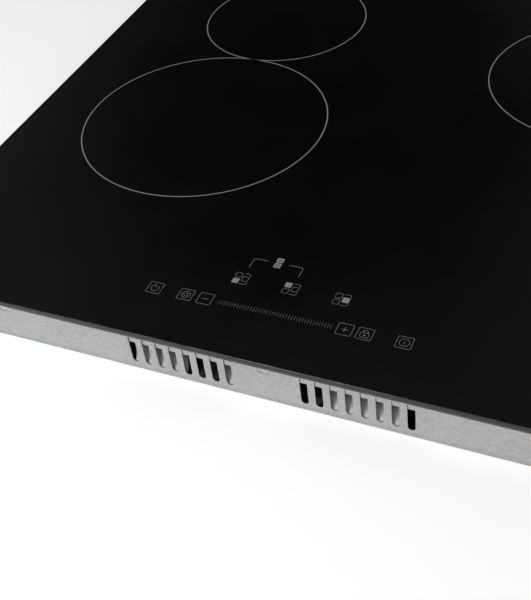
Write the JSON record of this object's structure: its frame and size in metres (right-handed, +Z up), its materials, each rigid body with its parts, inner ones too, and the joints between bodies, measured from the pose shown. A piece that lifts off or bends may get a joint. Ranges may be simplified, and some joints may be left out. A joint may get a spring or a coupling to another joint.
{
  "type": "built-in induction cooktop",
  "caption": "Built-in induction cooktop: black glass top over a slotted sheet-steel casing with coils, boards and blowers inside.",
  "frame": {"origin": "middle of the casing's underside", "axes": "+Z up through the glass, +X to the right along the long side, -Y to the front, where the touch keys are"},
  "size_m": [0.59, 0.52, 0.0575],
  "materials": {
    "black_glass": "polished black glass-ceramic",
    "foam": "closed-cell foam tape",
    "silicone": "cured silicone",
    "galvanised_steel": "zinc-coated sheet with fine spangle",
    "spring_steel": "satin spring steel",
    "zinc_screw": "zinc-plated",
    "aluminium_sheet": "mill finish",
    "aluminium_extrusion": "extruded",
    "copper": "enamelled litz wire",
    "former_plastic": "glass-filled plastic",
    "ferrite": "sintered",
    "mica": "mica board",
    "sensor_ceramic": "white ceramic",
    "grey_plastic": "moulded",
    "black_plastic": "moulded",
    "circuit_board": "green solder resist",
    "component_black": "epoxy",
    "capacitor_plastic": "boxed film",
    "choke_winding": "enamelled wire",
    "lamp_white": "diffusing",
    "wire_insulation": "silicone sleeve",
    "harness_sleeve": "ribbed sleeve",
    "terminal_plastic": "moulded",
    "screen_print": "grey enamel print fired on the glass",
    "label_foil": "blank foil"
  },
  "bodies": {
    "root": {"glass_plate": "black_glass", "seal_tape": "foam", "adhesive_bead": "silicone", "top_frame": "galvanised_steel", "casing": "galvanised_steel", "casing_screws": "zinc_screw", "clip_bases": "spring_steel", "coil_plate_left": "aluminium_sheet", "coil_plate_right": "aluminium_sheet", "plate_standoffs": "black_plastic", "inner_screws": "zinc_screw", "board_tray_left": "black_plastic", "board_tray_right": "black_plastic", "power_board_left": "circuit_board", "power_board_right": "circuit_board", "heat_sink_left": "aluminium_extrusion", "heat_sink_right": "aluminium_extrusion", "power_transistors": "component_black", "film_capacitors": "capacitor_plastic", "filter_chokes": "choke_winding", "fan_housing_left": "black_plastic", "fan_housing_right": "black_plastic", "control_board": "circuit_board", "control_board_holder": "grey_plastic", "touch_springs": "spring_steel", "display_lamps": "lamp_white", "control_harness": "harness_sleeve", "terminal_block": "terminal_plastic", "terminal_cover": "terminal_plastic", "cable_inlet_bush": "black_plastic", "supply_wires": "wire_insulation", "rating_plate": "label_foil", "coil_leads_front_left": "wire_insulation", "coil_leads_rear_left": "wire_insulation", "coil_leads_right": "wire_insulation", "coil_springs_front_left": "spring_steel", "coil_springs_rear_left": "spring_steel", "coil_springs_right": "spring_steel"},
    "coil_front_left": {"winding_front_left": "copper", "coil_former_front_left": "former_plastic", "ferrites_front_left": "ferrite", "mica_disc_front_left": "mica", "heat_sensor_front_left": "sensor_ceramic"},
    "coil_rear_left": {"winding_rear_left": "copper", "coil_former_rear_left": "former_plastic", "ferrites_rear_left": "ferrite", "mica_disc_rear_left": "mica", "heat_sensor_rear_left": "sensor_ceramic"},
    "coil_right": {"winding_right": "copper", "coil_former_right": "former_plastic", "ferrites_right": "ferrite", "mica_disc_right": "mica", "heat_sensor_right": "sensor_ceramic"},
    "blower_wheel_left": {"fan_rotor_left": "black_plastic"},
    "blower_wheel_right": {"fan_rotor_right": "black_plastic"},
    "clip_front_left": {"clip_leaf_front_left": "spring_steel"},
    "clip_rear_left": {"clip_leaf_rear_left": "spring_steel"},
    "clip_front_right": {"clip_leaf_front_right": "spring_steel"},
    "clip_rear_right": {"clip_leaf_rear_right": "spring_steel"}
  },
  "joints": [
    {"name": "coil_press_front_left", "type": "slide", "parent": "root", "child": "coil_front_left", "axis": [0, 0, 1], "range_m": [-0.003, 0], "stiffness_N_per_m": 2000, "springref_m": 0.01, "deforming": ["coil_springs_front_left", "coil_leads_front_left"]},
    {"name": "coil_press_rear_left", "type": "slide", "parent": "root", "child": "coil_rear_left", "axis": [0, 0, 1], "range_m": [-0.003, 0], "stiffness_N_per_m": 2000, "springref_m": 0.01, "deforming": ["coil_springs_rear_left", "coil_leads_rear_left"]},
    {"name": "coil_press_right", "type": "slide", "parent": "root", "child": "coil_right", "axis": [0, 0, 1], "range_m": [-0.003, 0], "stiffness_N_per_m": 2000, "springref_m": 0.01, "deforming": ["coil_springs_right", "coil_leads_right"]},
    {"name": "fan_spin_left", "type": "hinge", "parent": "root", "child": "blower_wheel_left", "pos_m": [-0.0635, 0.151, 0.005], "axis": [0, 0, 1], "continuous": true},
    {"name": "fan_spin_right", "type": "hinge", "parent": "root", "child": "blower_wheel_right", "pos_m": [0.0635, 0.151, 0.005], "axis": [0, 0, 1], "continuous": true},
    {"name": "clip_flex_front_left", "type": "hinge", "parent": "root", "child": "clip_front_left", "pos_m": [-0.277, -0.13, 0.0445], "axis": [0, -1, 0], "range_deg": [0, 8], "stiffness_Nm_per_rad": 1},
    {"name": "clip_flex_rear_left", "type": "hinge", "parent": "root", "child": "clip_rear_left", "pos_m": [-0.277, 0.13, 0.0445], "axis": [0, -1, 0], "range_deg": [0, 8], "stiffness_Nm_per_rad": 1},
    {"name": "clip_flex_front_right", "type": "hinge", "parent": "root", "child": "clip_front_right", "pos_m": [0.277, -0.13, 0.0445], "axis": [0, 1, 0], "range_deg": [0, 8], "stiffness_Nm_per_rad": 1},
    {"name": "clip_flex_rear_right", "type": "hinge", "parent": "root", "child": "clip_rear_right", "pos_m": [0.277, 0.13, 0.0445], "axis": [0, 1, 0], "range_deg": [0, 8], "stiffness_Nm_per_rad": 1}
  ]
}
